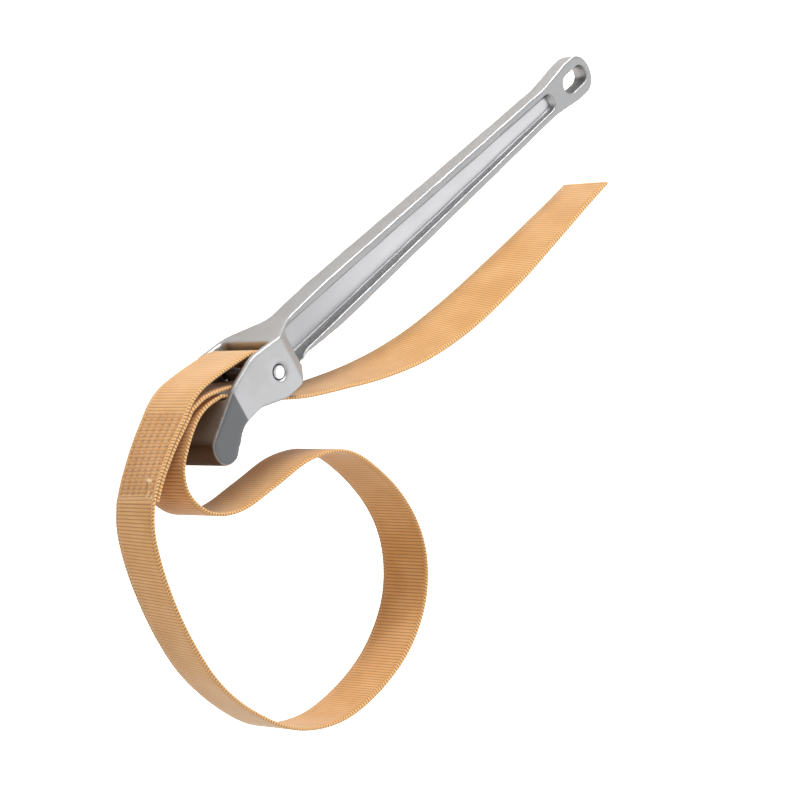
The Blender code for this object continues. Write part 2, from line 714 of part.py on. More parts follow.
def empty(name, location, parent=None):
    obj = bpy.data.objects.new(name, None)
    obj.location = location
    obj.parent = parent
    bpy.context.scene.collection.objects.link(obj)
    return obj


def build():
    clear_scene()
    cast = material("cast_aluminium", (0.55, 0.55, 0.57), 0.45, 0.6)
    steel = material("pin_steel", (0.72, 0.72, 0.74), 0.25, 1.0)
    webbing = material("woven_strap", (0.56, 0.34, 0.13), 0.85, 0.0)
    thread = material("sewing_thread", (0.50, 0.29, 0.10), 0.8, 0.0)
    frame = empty("pin_axis", (ORIGIN_AHEAD_OF_PIN * MM, 0.0, HEAD_WIDTH / 2 * MM))
    swivel = empty("strap_swivel_axis", (0.0, 0.0, 0.0), frame)
    draw = empty("strap_draw_axis", (0.0, 0.0, 0.0), frame)
    build_casting(frame, cast)
    build_pin(frame, steel)
    outer, exit_point = build_strap(swivel, draw, webbing)
    half = STRAP_THICKNESS / 2
    heading = math.radians(THROAT_ANGLE)
    along = Vector((math.cos(heading), math.sin(heading)))
    hinge_at = exit_point + along * (half + FACE_GAP)
    tail = empty("tail_axis", (hinge_at.x * MM, hinge_at.y * MM, 0.0), draw)
    build_tail(hinge_at, tail, webbing)
    build_stitches(swivel, outer, thread)


build()
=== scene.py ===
import math
import random

import bmesh
import bpy
import numpy as np
from mathutils import Matrix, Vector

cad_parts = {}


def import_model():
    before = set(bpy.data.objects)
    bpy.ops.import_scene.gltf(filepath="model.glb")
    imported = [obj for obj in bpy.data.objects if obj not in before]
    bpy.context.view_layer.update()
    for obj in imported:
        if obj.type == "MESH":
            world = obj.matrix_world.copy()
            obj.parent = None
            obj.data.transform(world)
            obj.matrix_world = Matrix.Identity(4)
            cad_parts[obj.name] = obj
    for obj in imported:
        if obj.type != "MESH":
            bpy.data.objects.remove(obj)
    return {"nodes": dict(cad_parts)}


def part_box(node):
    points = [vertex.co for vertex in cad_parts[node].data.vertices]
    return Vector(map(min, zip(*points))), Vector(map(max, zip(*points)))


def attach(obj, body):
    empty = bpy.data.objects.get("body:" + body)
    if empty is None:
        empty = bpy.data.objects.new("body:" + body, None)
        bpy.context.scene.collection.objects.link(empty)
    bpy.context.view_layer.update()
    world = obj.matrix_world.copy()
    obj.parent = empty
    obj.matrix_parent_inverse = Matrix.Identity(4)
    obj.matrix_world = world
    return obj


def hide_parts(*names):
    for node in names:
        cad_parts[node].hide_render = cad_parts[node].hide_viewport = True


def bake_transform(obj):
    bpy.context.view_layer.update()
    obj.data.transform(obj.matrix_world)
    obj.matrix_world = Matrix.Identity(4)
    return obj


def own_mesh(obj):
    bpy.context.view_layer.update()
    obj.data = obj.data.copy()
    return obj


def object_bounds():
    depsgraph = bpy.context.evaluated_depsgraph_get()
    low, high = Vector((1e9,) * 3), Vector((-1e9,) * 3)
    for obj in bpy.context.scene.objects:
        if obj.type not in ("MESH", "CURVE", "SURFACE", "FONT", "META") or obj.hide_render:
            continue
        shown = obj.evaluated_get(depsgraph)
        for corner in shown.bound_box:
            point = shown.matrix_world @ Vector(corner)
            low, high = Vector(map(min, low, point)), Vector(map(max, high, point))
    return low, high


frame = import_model()
cad_low, cad_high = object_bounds()
MM = 0.001


# ---- Handle casting ----
# One aluminium casting: I-section handle, neck, forked head and heel, with a satin blasted skin.
# The mould rounds every edge, and the hang hole's walls flare from the parting line to both faces.
# Painted light makes the recesses' floors pale; painted shade makes the flanges darker and the
# walls, the heel, the corners and a ring round the pin dark.
CASTING_TONE = (0.475, 0.477, 0.482, 1.0)
CASTING_DULL = (0.445, 0.444, 0.443, 1.0)
CASTING_BRIGHT = (0.62, 0.62, 0.625, 1.0)
CASTING_NOSE_SHADE = (0.165, 0.168, 0.172, 1.0)
CASTING_HEEL_SHADE_AND_REFLECTION = (0.145, 0.105, 0.078, 1.0)
CASTING_PAINTED_SHADE = (0.15, 0.15, 0.155, 1.0)
CASTING_WEB_LIT = (0.60, 0.602, 0.61, 1.0)
CASTING_WALL_SHADE = (0.17, 0.17, 0.172, 1.0)
CASTING_FLANGE_SHADE = (0.35, 0.351, 0.354, 1.0)
PIN_SHADOW_RING = 0.8 * MM            # width of the dark ring round the pin
RECESS_FROM = 24.0 * MM        # behind the pin
FLANGE_SHADE_BY = 55.0 * MM
WEB_PALE_FROM = 55.0 * MM
WEB_PALE_BY = 140.0 * MM
TAPER_FROM = 90.0 * MM         # the handle's width is measured here and at TAPER_TO
TAPER_TO = 310.0 * MM
FLANGE_RIM = 2.6 * MM          # part of the flange that stays outside the recess's tones
RIM_FADE = 0.4 * MM
WEB_DEPTH = 4.2 * MM           # the recess's floor lies nearer the middle than this
CASTING_VOXEL = 0.75 * MM
ROUNDING_PASSES = 6
HEAD_PASSES = 22
HEAD_ENDS = 34.0 * MM          # behind the pin, where the extra rounding fades out
HEAD_FADE = 24.0 * MM
HOLE_END_WALL = 5.6 * MM
HOLE_LENGTH = 24.2 * MM
HOLE_HALF_WIDTH = 6.1 * MM
HOLE_OFFSET = 1.3 * MM
HOLE_FLARE = 0.9 * MM          # the hole's walls move out by this much at the faces
HOLE_HALF_DEPTH = 6.4 * MM
CHEEK_FRONT = 40.0 * MM        # ahead of the pin, where the heel's painted shade starts
CHEEK_FRONT_FADE = 0.6 * MM
WORN_FROM = 0.505              # pointiness of the edges that are polished
SHADED_CORNERS = (0.468, 0.498)       # pointiness of the hollow corners that get painted shade

pin_low, pin_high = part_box("strap_pin")
pin_middle = (pin_low + pin_high) / 2
pin_radius = (pin_high.x - pin_low.x) / 2
casting_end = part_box("handle_casting")[1].x


def new_object(name, mesh):
    made = bpy.data.objects.new(name, mesh)
    bpy.context.scene.collection.objects.link(made)
    return made


def fix_modifiers(obj):
    """Make what the modifiers show the object's own mesh."""
    graph = bpy.context.evaluated_depsgraph_get()
    shaped = bpy.data.meshes.new_from_object(obj.evaluated_get(graph))
    obj.modifiers.clear()
    obj.data = shaped


def joined_copy(name, node):
    """A node's shape with its split corners joined again, as a new object."""
    shape = bmesh.new()
    shape.from_mesh(node.data)
    bmesh.ops.remove_doubles(shape, verts=shape.verts, dist=0.002 * MM)
    mesh = bpy.data.meshes.new(name)
    shape.to_mesh(mesh)
    shape.free()
    return new_object(name, mesh)


def points_of(mesh):
    flat = np.zeros(len(mesh.vertices) * 3)
    mesh.vertices.foreach_get("co", flat)
    return flat.reshape(-1, 3)


def flare_hang_hole(mesh):
    """Lean the hang hole's walls out towards both faces."""
    points = points_of(mesh)
    end = casting_end - HOLE_END_WALL
    far = end - HOLE_HALF_WIDTH
    near = end - HOLE_LENGTH + HOLE_HALF_WIDTH
    across = points[:, 0] - np.clip(points[:, 0], near, far)
    up = points[:, 1] - (pin_middle.y + HOLE_OFFSET)
    reach = np.hypot(across, up)
    depth = np.abs(points[:, 2] - pin_middle.z) / HOLE_HALF_DEPTH
    wall = (reach < HOLE_HALF_WIDTH + HOLE_FLARE) & (reach > HOLE_HALF_WIDTH / 2)
    push = np.where(wall, HOLE_FLARE * np.clip(depth, 0.0, 1.0), 0.0) / np.maximum(reach, MM)
    points[:, 0] += across * push
    points[:, 1] += up * push
    mesh.vertices.foreach_set("co", points.ravel())
    mesh.update()


def weigh_head(obj):
    """A vertex group that is full on the forked head and fades out along the neck."""
    group = obj.vertex_groups.new(name="head")
    past = (points_of(obj.data)[:, 0] - pin_middle.x - HEAD_ENDS) / HEAD_FADE
    level = np.round(10 * np.clip(1.0 - past, 0.0, 1.0)).astype(int)
    for tenth in range(1, 11):
        group.add(np.flatnonzero(level == tenth).tolist(), tenth / 10, "REPLACE")


def add_node(tree, kind, values=None, **settings):
    """A new node; a value for an input is a constant or the socket that feeds it."""
    made = tree.nodes.new(kind)
    for key, value in settings.items():
        setattr(made, key, value)
    for key, value in (values or {}).items():
        if isinstance(value, bpy.types.NodeSocket):
            tree.links.new(value, made.inputs[key])
        else:
            made.inputs[key].default_value = value
    return made


def maths(tree, operation, *values, clamp=False):
    return add_node(tree, "ShaderNodeMath", dict(enumerate(values)), operation=operation,
                    use_clamp=clamp).outputs[0]


def times(tree, first, second):
    return maths(tree, "MULTIPLY", first, second)


def size_of(tree, value):
    return maths(tree, "ABSOLUTE", value)


def vector_maths(tree, operation, *values):
    return add_node(tree, "ShaderNodeVectorMath", dict(enumerate(values)), operation=operation)


def ramp(tree, value, low, high):
    """0 below low, 1 above high, smooth between."""
    return add_node(tree, "ShaderNodeMapRange", {"Value": value, "From Min": low, "From Max": high},
                    interpolation_type="SMOOTHSTEP").outputs["Result"]


def mixed(tree, share, first, second):
    """Colour between first and second; inputs 6 and 7 are the node's colour pair."""
    return add_node(tree, "ShaderNodeMix", {0: share, 6: first, 7: second},
                    data_type="RGBA").outputs[2]


def noise(tree, where, scale, detail):
    return add_node(tree, "ShaderNodeTexNoise", {"Vector": where, "Scale": scale, "Detail": detail}
                    ).outputs["Fac"]


def node_group(name, inputs, outputs):
    group = bpy.data.node_groups.new(name, "ShaderNodeTree")
    for label, kind in inputs:
        group.interface.new_socket(name=label, in_out="INPUT", socket_type=kind)
    for label, kind in outputs:
        group.interface.new_socket(name=label, in_out="OUTPUT", socket_type=kind)
    return group, group.nodes.new("NodeGroupInput"), group.nodes.new("NodeGroupOutput")


def grain_group():
    """Fine blasted grain with broad patches: a height for the bump, and a patch mask."""
    group, given, out = node_group(
        "Blasted grain",
        [("Where", "NodeSocketVector"), ("Grain", "NodeSocketFloat"), ("Patch", "NodeSocketFloat")],
        [("Height", "NodeSocketFloat"), ("Patches", "NodeSocketFloat")])
    fine = noise(group, given.outputs["Where"], given.outputs["Grain"], 3.0)
    broad = noise(group, given.outputs["Where"], given.outputs["Patch"], 4.0)
    height = maths(group, "MULTIPLY_ADD", broad, 0.08, fine)
    group.links.new(height, out.inputs["Height"])
    group.links.new(ramp(group, broad, 0.35, 0.65), out.inputs["Patches"])
    return group


def wear_and_corner_shade_group():
    """Outer edges that handling has polished, broken up by scuffs, and hollow corners darkened with
    painted shade.
    """
    group, given, out = node_group(
        "Worn edges and corner shade",
        [("Where", "NodeSocketVector"), ("Scuff", "NodeSocketFloat"), ("Reach", "NodeSocketFloat")],
        [("Mask", "NodeSocketFloat"), ("Corners", "NodeSocketFloat")])
    convex = group.nodes.new("ShaderNodeNewGeometry").outputs["Pointiness"]
    edge = ramp(group, convex, WORN_FROM, given.outputs["Reach"])
    scuffs = noise(group, given.outputs["Where"], given.outputs["Scuff"], 4.0)
    # Painted shade for the hollow corners.
    corners = maths(group, "SUBTRACT", 1.0, ramp(group, convex, *SHADED_CORNERS))
    group.links.new(times(group, edge, ramp(group, scuffs, 0.3, 0.7)), out.inputs["Mask"])
    group.links.new(corners, out.inputs["Corners"])
    return group


blasted_grain = grain_group()
worn_edges_and_corner_shade = wear_and_corner_shade_group()


def placed(tree, group, **values):
    return add_node(tree, "ShaderNodeGroup", values, node_tree=group)


def object_place(tree):
    return tree.nodes.new("ShaderNodeTexCoord").outputs["Object"]


def parts_of(tree, vector):
    """X, Y and Z of a vector."""
    return add_node(tree, "ShaderNodeSeparateXYZ", {0: vector}).outputs


def new_material(name):
    made = bpy.data.materials.new(name)
    made.use_nodes = True
    return made, made.node_tree, made.node_tree.nodes["Principled BSDF"]


def feed(tree, shader, **sources):
    """Link sockets to the shader's inputs; an underscore in a name stands for a space."""
    for label, source in sources.items():
        tree.links.new(source, shader.inputs[label.replace("_", " ")])


def bumped(tree, shader, height, strength, distance):
    bump = add_node(tree, "ShaderNodeBump",
                    {"Height": height, "Strength": strength, "Distance": distance})
    tree.links.new(bump.outputs["Normal"], shader.inputs["Normal"])


def edges_at(x):
    """Middle and half width of the handle, this far behind the pin."""
    points = points_of(casting.data)
    heights = points[np.abs(points[:, 0] - pin_middle.x - x) < MM, 1]
    return (heights.min() + heights.max()) / 2, (heights.max() - heights.min()) / 2


def along_handle(tree, x, near, far):
    """A value that runs straight from near to far between the two measured places."""
    slope = (far - near) / (TAPER_TO - TAPER_FROM)
    return maths(tree, "MULTIPLY_ADD", x, slope, near - slope * (pin_middle.x + TAPER_FROM))


def handle_zones(tree, place, facing):
    """Masks of the recesses' walls and floors and of the flanges, for painted shade on the walls and
    flanges and painted light on the floors, and how far the web is pale.
    """
    near, far = edges_at(TAPER_FROM), edges_at(TAPER_TO)
    middle = along_handle(tree, place["X"], near[0], far[0])
    half = along_handle(tree, place["X"], near[1], far[1])
    to_edge = maths(tree, "SUBTRACT", half,
                    size_of(tree, maths(tree, "SUBTRACT", place["Y"], middle)))
    depth = size_of(tree, maths(tree, "SUBTRACT", place["Z"], pin_middle.z))
    behind_head = maths(tree, "GREATER_THAN", place["X"], pin_middle.x + RECESS_FROM)
    inside = times(tree, behind_head,
                   ramp(tree, to_edge, FLANGE_RIM - RIM_FADE, FLANGE_RIM + RIM_FADE))
    # Painted shade on the recesses' walls.
    walls = times(tree, inside, ramp(tree, size_of(tree, facing["Y"]), 0.45, 0.85))
    # Painted light on the recesses' floors.
    floors = times(tree, inside, ramp(tree, depth, WEB_DEPTH + RIM_FADE, WEB_DEPTH))
    # Painted shade on the flanges' tops.
    flanges = times(
        tree,
        ramp(tree, place["X"], pin_middle.x + RECESS_FROM, pin_middle.x + FLANGE_SHADE_BY),
        ramp(tree, size_of(tree, facing["Z"]), 0.7, 0.95))
    pale = ramp(tree, place["X"], pin_middle.x + WEB_PALE_FROM, pin_middle.x + WEB_PALE_BY)
    return walls, floors, flanges, pale


def heel_zones(tree, place, facing):
    """Masks of the heel's flat sides and of its front, where painted shade goes."""
    edge = pin_middle.x - CHEEK_FRONT
    ahead = ramp(tree, place["X"], edge + CHEEK_FRONT_FADE, edge - CHEEK_FRONT_FADE)
    # Painted shade on the heel's tapered flat sides.
    sides = times(tree, ahead, ramp(tree, size_of(tree, facing["Z"]), 0.72, 0.93))
    # Painted shade on the heel's front, brown as a painted reflection of the strap.
    front = times(tree, ahead, ramp(tree, facing["X"], -0.35, -0.85))
    return sides, front


def pin_gap_shadow(tree, where):
    """Mask of the painted shadow in the gap round the pin."""
    off_pin = vector_maths(tree, "SUBTRACT", where, (pin_middle.x, pin_middle.y, 0.0)).outputs[0]
    flat_off = vector_maths(tree, "MULTIPLY", off_pin, (1.0, 1.0, 0.0)).outputs[0]
    reach = vector_maths(tree, "LENGTH", flat_off).outputs["Value"]
    return maths(tree, "SUBTRACT", 1.0,
                 ramp(tree, reach, pin_radius + 0.6 * PIN_SHADOW_RING, pin_radius + PIN_SHADOW_RING))


def cast_aluminium():
    material, tree, shader = new_material("cast_aluminium")
    where = object_place(tree)
    grain = placed(tree, blasted_grain, Where=where, Grain=1500.0, Patch=38.0)
    worn_and_shaded = placed(tree, worn_edges_and_corner_shade, Where=where, Scuff=210.0, Reach=0.56)
    wear = worn_and_shaded.outputs["Mask"]
    place = parts_of(tree, where)
    facing = parts_of(tree, tree.nodes.new("ShaderNodeNewGeometry").outputs["Normal"])
    walls, floors, flanges, pale = handle_zones(tree, place, facing)
    heel_sides, heel_front = heel_zones(tree, place, facing)
    # Painted shadow in the gap round the pin, together with painted shade in the hollow corners.
    painted_shade = maths(tree, "MAXIMUM", pin_gap_shadow(tree, where), times(tree, worn_and_shaded.outputs["Corners"], 0.9))
    tone = mixed(tree, grain.outputs["Patches"], CASTING_DULL, CASTING_TONE)
    for mask, colour in ((heel_sides, CASTING_NOSE_SHADE), (flanges, CASTING_FLANGE_SHADE),
                         (floors, mixed(tree, pale, CASTING_TONE, CASTING_WEB_LIT)),
                         (walls, CASTING_WALL_SHADE), (heel_front, CASTING_HEEL_SHADE_AND_REFLECTION),
                         (times(tree, wear, 0.35), CASTING_BRIGHT), (painted_shade, CASTING_PAINTED_SHADE)):
        tone = mixed(tree, mask, tone, colour)
    rough = maths(tree, "MULTIPLY_ADD", grain.outputs["Patches"], -0.02, 0.50)
    feed(tree, shader, Base_Color=tone,
         Roughness=maths(tree, "MULTIPLY_ADD", wear, -0.10, rough))
    shader.inputs["Metallic"].default_value = 0.9
    bumped(tree, shader, grain.outputs["Height"], 0.45, 0.16 * MM)
    return material


def smoothing(obj, name, passes):
    made = obj.modifiers.new(name, "SMOOTH")
    made.factor = 0.5
    made.iterations = passes
    return made


casting = joined_copy("handle_casting_skin", frame["nodes"]["handle_casting"])
remesh = casting.modifiers.new("Skin", "REMESH")
remesh.mode = "VOXEL"
remesh.voxel_size = CASTING_VOXEL
fix_modifiers(casting)
flare_hang_hole(casting.data)
smoothing(casting, "Mould rounding", ROUNDING_PASSES)
weigh_head(casting)
smoothing(casting, "Softer head", HEAD_PASSES).vertex_group = "head"
fix_modifiers(casting)
casting.data.shade_smooth()
casting.data.materials.clear()
casting.data.materials.append(cast_aluminium())
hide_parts("handle_casting")
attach(casting, "wrench")


# ---- Strap pin ----
# A ground steel pin pressed through both cheeks, its ends faced bright and chamfered.
# It sits slightly below the cheeks' faces, in the countersunk holes of the casting.
PIN_STEEL = (0.86, 0.86, 0.87, 1.0)
PIN_SIDES = 96
PIN_CHAMFER = 0.6 * MM
PIN_DISH = 0.12 * MM
TURNING_MARKS = 26000.0        # radians per metre


def turned(name, profile, sides):
    """Solid of revolution about the vertical, through (radius, height) pairs from axis to axis."""
    shape = bmesh.new()
    rings = []
    for radius, height in profile:
        if radius == 0.0:
            rings.append([shape.verts.new((0.0, 0.0, height))])
            continue
        turns = [2 * math.pi * k / sides for k in range(sides)]
        rings.append([shape.verts.new((radius * math.cos(a), radius * math.sin(a), height))
                      for a in turns])
    for low, high in zip(rings, rings[1:]):
        for k in range(sides):
            corners = [low[k % len(low)], low[(k + 1) % len(low)],
                       high[(k + 1) % len(high)], high[k % len(high)]]
            shape.faces.new(list(dict.fromkeys(corners)))
    bmesh.ops.recalc_face_normals(shape, faces=shape.faces)
    mesh = bpy.data.meshes.new(name)
    shape.to_mesh(mesh)
    shape.free()
    mesh.shade_smooth()
    mesh.set_sharp_from_angle(angle=math.radians(30))
    return new_object(name, mesh)


def ground_steel():
    material, tree, shader = new_material("ground_steel")
    where = object_place(tree)
    place = parts_of(tree, where)
    squares = [maths(tree, "POWER", place[axis], 2.0) for axis in "XY"]
    radius = maths(tree, "POWER", maths(tree, "ADD", *squares), 0.5)
    rings = maths(tree, "SINE", times(tree, radius, TURNING_MARKS))
    scuffs = noise(tree, where, 900.0, 3.0)
    feed(tree, shader,
         Base_Color=mixed(tree, ramp(tree, scuffs, 0.4, 0.75), PIN_STEEL, CASTING_TONE),
         Roughness=maths(tree, "MULTIPLY_ADD", scuffs, 0.2, 0.12))
    shader.inputs["Metallic"].default_value = 1.0
    bumped(tree, shader, maths(tree, "ADD", rings, scuffs), 0.12, 0.02 * MM)
    return material


pin_half = (pin_high.z - pin_low.z) / 2
pin_end = [(pin_radius, pin_half - PIN_CHAMFER),
           (pin_radius - 0.3 * PIN_CHAMFER, pin_half - 0.35 * PIN_CHAMFER),
           (pin_radius - PIN_CHAMFER, pin_half),
           (pin_radius * 0.3, pin_half - 0.3 * PIN_DISH), (0.0, pin_half - PIN_DISH)]
pin = turned("pin_turned", [(r, -z) for r, z in reversed(pin_end)] + pin_end, PIN_SIDES)
pin.location = pin_middle
pin.data.materials.append(ground_steel())
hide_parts("strap_pin")
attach(pin, "wrench")


# ---- Woven strap ----
# One length of heavy tan webbing with a corded selvedge along both edges, standing on its edge: sewn
# round the pin, out into the loop, back through the throat, and free in the tail.
# Its sizes and points here are in millimetres, from the pin's middle.
STRAP_WIDTH = 44.45
STRAP_THICKNESS = 2.6
BODY_THICKNESS = 2.3           # the woven face, between the edge cords
CORD_RADIUS = 1.27
CORD_DIP = 0.11                # share of the cord's radius that its twist dips
CORD_ANGLES = (132.0, 100.0, 66.0, 33.0, 0.0, -33.0, -66.0, -100.0, -132.0)
GROOVE_DEPTH = 0.22            # between the face and the cord
GROOVE_WIDTH = 0.45
GROOVE_PLACE = 0.98            # of the cord's radius, in from its middle
TWIST_PITCH = 2.3
RIB_PITCH = 2.4
RIB_RISE = 0.20
YARN_PITCH = 1.3
STEP = 0.48                    # spacing of the cross-sections
CURVE_STEPS = 64               # points between two given ones, before even spacing
FACE_POINTS = 13
SEWN_FACE_POINTS = 43
FACE_GAP = 0.3
LAYER_PITCH = STRAP_THICKNESS + FACE_GAP
THROAT_ENTRY = (-44.4, 12.0)
THROAT_HEADING = -37.0
THROAT_LENGTH = 46.0
EYE_LEAVES = 20.0              # angle on the pin where the outer layer leaves it
EYE_RETURNS = -118.0           # and where the folded layer does
EYE_STEP = 4.0                 # degrees between points on the turn round the pin
EYE_RISE = 6.0                 # straight run of the outer layer from the pin
EYE_RETURN_RUN = 12.0          # and of the folded one
LAP_START_X = -70.0
LAP_END = (-127.5, -12.6)
RAW_END_SETBACK = 1.5          # raw end of the folded layer, before the lap's end
LOOP_SPLIT = (-40.0, -62.0)    # the loop and the way back meet here
LEG_LEAN = 2.4                 # the upper edge stands this much off the middle
LEG_LEAN_ENDS_Y = -215.0
LEG_LEAN_FADE = 70.0
TAIL_LEAN = 5.0
TAIL_LEAN_SHAPE = 1.5
EYE_SOFTENING = 0.8
LOOP_SOFTENING = 3.5
TAIL_SOFTENING = 6.0
OUTER_POINTS = [
    (0.6, 15.2), (-5.5, 19.4), (-15.0, 21.8), (-30.0, 23.9), (-45.0, 25.3), (-57.0, 25.3),
    (-68.0, 22.6), (-79.0, 17.4), (-93.0, 10.7), (-105.5, 3.5), (-117.0, -4.0), LAP_END,
]
FOLDED_POINTS = [(-30.0, 9.4), (-44.0, 15.9), (-57.0, 19.3)]
LOOP_POINTS = [
    LAP_END, (-136.6, -25.0), (-144.0, -44.0), (-149.8, -70.0), (-152.8, -103.0),
    (-150.3, -138.0), (-138.0, -173.0), (-117.0, -204.0), (-84.0, -223.5), (-45.0, -228.2),
    (-8.0, -222.0), (23.0, -204.0), (42.0, -177.0), (47.4, -148.0), (41.0, -113.0),
    (24.0, -81.0), (-4.0, -66.0), (-40.0, -62.0), (-74.0, -57.5), (-95.0, -44.5),
    (-102.9, -24.0), (-97.5, -8.4), (-84.0, 3.2), (-70.0, 11.2), (-58.0, 13.8),
]
ENTRY_RUN = 6.0
ENTRY_HEADING = -10.0
TAIL_POINTS = [
    (14.0, -28.8), (45.0, -42.2), (80.0, -56.0), (118.0, -67.0), (160.0, -73.2),
    (215.0, -74.8), (275.0, -72.6), (337.7, -69.4),
]
STITCH_ROWS = 6
STITCH_MARGIN = 4.6
ROW_PITCH = (STRAP_WIDTH - 2 * STITCH_MARGIN) / (STITCH_ROWS - 1)
STITCH_LENGTH = 4.0
STITCH_START = 6.0             # first stitch after the layers meet
STITCH_STOP = 1.0              # last stitch before the raw end
DIMPLE_DEPTH = 0.36            # the webbing is pulled in at each needle hole
DIMPLE_REACH = 1.1
NEEDLE_FADE = (0.5 * MM, 2.7 * MM)           # the painted shade of a needle hole dies out here
CORD_INNER = (STRAP_WIDTH / 2 - 2.8) * MM    # the edge cord's colour starts, and is full
CORD_OUTER = (STRAP_WIDTH / 2 - 2.3) * MM
WEB_LIGHT = (0.78, 0.430, 0.150, 1.0)
WEB_MID = (0.69, 0.345, 0.090, 1.0)
WEB_DEEP = (0.29, 0.110, 0.022, 1.0)
WEB_GOLD = (0.80, 0.475, 0.185, 1.0)


def towards(degrees):
    return np.array([math.cos(math.radians(degrees)), math.sin(math.radians(degrees))])


def distances(path):
    """Distance along a path of each of its points."""
    return np.r_[0.0, np.cumsum(np.linalg.norm(np.diff(path, axis=0), axis=1))]


def even(path, spacing):
    """The same path with points at even spacing."""
    far = distances(path)
    marks = np.linspace(0.0, far[-1], max(2, round(far[-1] / spacing)) + 1)
    return np.column_stack([np.interp(marks, far, path[:, k]) for k in (0, 1)])


def curve_through(points, spacing):
    """Centripetal curve through the points."""
    pts = [np.array(p, float) for p in points]
    pts = [2 * pts[0] - pts[1]] + pts + [2 * pts[-1] - pts[-2]]
    dense = []
    for p0, p1, p2, p3 in zip(pts, pts[1:], pts[2:], pts[3:]):
        t1 = np.linalg.norm(p1 - p0) ** 0.5
        t2 = t1 + np.linalg.norm(p2 - p1) ** 0.5
        t3 = t2 + np.linalg.norm(p3 - p2) ** 0.5
        t = np.linspace(t1, t2, CURVE_STEPS, endpoint=False)[:, None]
        a1 = p0 * (t1 - t) / t1 + p1 * t / t1
        a2 = p1 * (t2 - t) / (t2 - t1) + p2 * (t - t1) / (t2 - t1)
        a3 = p2 * (t3 - t) / (t3 - t2) + p3 * (t - t2) / (t3 - t2)
        b1 = a1 * (t2 - t) / t2 + a2 * t / t2
        b2 = a2 * (t3 - t) / (t3 - t1) + a3 * (t - t1) / (t3 - t1)
        dense.append(b1 * (t2 - t) / (t2 - t1) + b2 * (t - t1) / (t2 - t1))
    return even(np.vstack(dense + [pts[-2][None]]), spacing)


def softened(values, reach):
    """Values averaged along the strap, with both ends held."""
    half = int(3 * reach / STEP)
    bell = np.exp(-0.5 * (np.arange(-half, half + 1) * STEP / reach) ** 2)
    bell /= bell.sum()
    ahead = 2 * values[0] - values[half:0:-1]
    behind = 2 * values[-1] - values[-2:-half - 2:-1]
    padded = np.vstack([ahead, values, behind])
    return np.column_stack([np.convolve(column, bell, "valid") for column in padded.T])


def headings(path):
    along = np.gradient(path, axis=0)
    return along / np.linalg.norm(along, axis=1)[:, None]


def left_of(path):
    along = headings(path)
    return np.column_stack([-along[:, 1], along[:, 0]])


def eased(value):
    share = np.clip(value, 0.0, 1.0)
    return share * share * (3 - 2 * share)


def lap_lean(x):
    """Lean of the two sewn layers: none where they meet, full at the lap's end."""
    return LEG_LEAN * eased((LAP_START_X - x) / (LAP_START_X - LAP_END[0]))


def world(x, y, z=0.0):
    """Millimetres from the pin's middle to metres in the frame."""
    return np.stack([x * MM + pin_middle.x, y * MM + pin_middle.y, z * MM + pin_middle.z], axis=-1)


eye_radius = pin_radius / MM + FACE_GAP + STRAP_THICKNESS / 2
leave = eye_radius * towards(EYE_LEAVES)
rise = leave + EYE_RISE * towards(EYE_LEAVES + 90.0)
outer_layer = curve_through([leave, rise] + OUTER_POINTS, STEP)
lap = outer_layer[outer_layer[:, 0] < LAP_START_X]
lap_inner = (lap + left_of(lap) * LAYER_PITCH)[:-round(RAW_END_SETBACK / STEP)]
turn = np.array([eye_radius * towards(a) for a in np.arange(EYE_RETURNS, EYE_LEAVES, EYE_STEP)])
away = turn[0] + EYE_RETURN_RUN * towards(EYE_RETURNS - 90.0)
way_back = curve_through([turn[0], away] + FOLDED_POINTS + [lap_inner[2]], STEP)
eye_route = even(np.vstack([lap_inner[:2:-1], way_back[::-1][:-1], turn, outer_layer]), STEP)
eye_route = softened(eye_route, EYE_SOFTENING)
approach = np.array(THROAT_ENTRY) - ENTRY_RUN * towards(ENTRY_HEADING)
loop_route = curve_through(LOOP_POINTS + [approach, THROAT_ENTRY], STEP)
loop_route = softened(loop_route, LOOP_SOFTENING)
throat_exit = np.array(THROAT_ENTRY) + THROAT_LENGTH * towards(THROAT_HEADING)
throat_route = even(np.array([THROAT_ENTRY, throat_exit]), STEP)
tail_route = softened(curve_through([throat_exit] + TAIL_POINTS, STEP), TAIL_SOFTENING)
strap_route = np.vstack([eye_route, loop_route[1:], throat_route[1:], tail_route[1:]])
strap_run = distances(strap_route)
lap_end_at = len(eye_route) - 1
entry_at = lap_end_at + len(loop_route) - 1
exit_at = entry_at + len(throat_route) - 1
split_at = lap_end_at + int(np.argmin(np.linalg.norm(loop_route - LOOP_SPLIT, axis=1)))
last_station = len(strap_route) - 1
strap_left = left_of(strap_route)

lean = np.zeros(len(strap_route))
for at in range(lap_end_at + 1):
    nearest = outer_layer[np.argmin(np.linalg.norm(outer_layer - strap_route[at], axis=1))]
    lean[at] = lap_lean(nearest[0])
lean_sign = np.where(strap_run < strap_run[lap_end_at] / 2, -1.0, 1.0)
leg = slice(lap_end_at, lap_end_at + int(np.argmax(loop_route[:, 1] < LEG_LEAN_ENDS_Y)))
lean[leg] = LEG_LEAN * eased((strap_route[leg, 1] - LEG_LEAN_ENDS_Y) / LEG_LEAN_FADE)
along_tail = np.linspace(0.0, 1.0, len(strap_route) - exit_at)
lean[exit_at:] = TAIL_LEAN * np.sin(math.pi * along_tail) ** TAIL_LEAN_SHAPE
lean *= lean_sign

lap_far = distances(lap)
sewable = lap_far[-1] - RAW_END_SETBACK - STITCH_STOP - STITCH_START
stitch_count = int(sewable / STITCH_LENGTH)
sewn_length = stitch_count * STITCH_LENGTH
outer_sewn_from = float(strap_run[lap_end_at] - lap_far[-1] + STITCH_START)
folded_sewn_from = float(lap_far[-1] - RAW_END_SETBACK - STITCH_START - sewn_length)


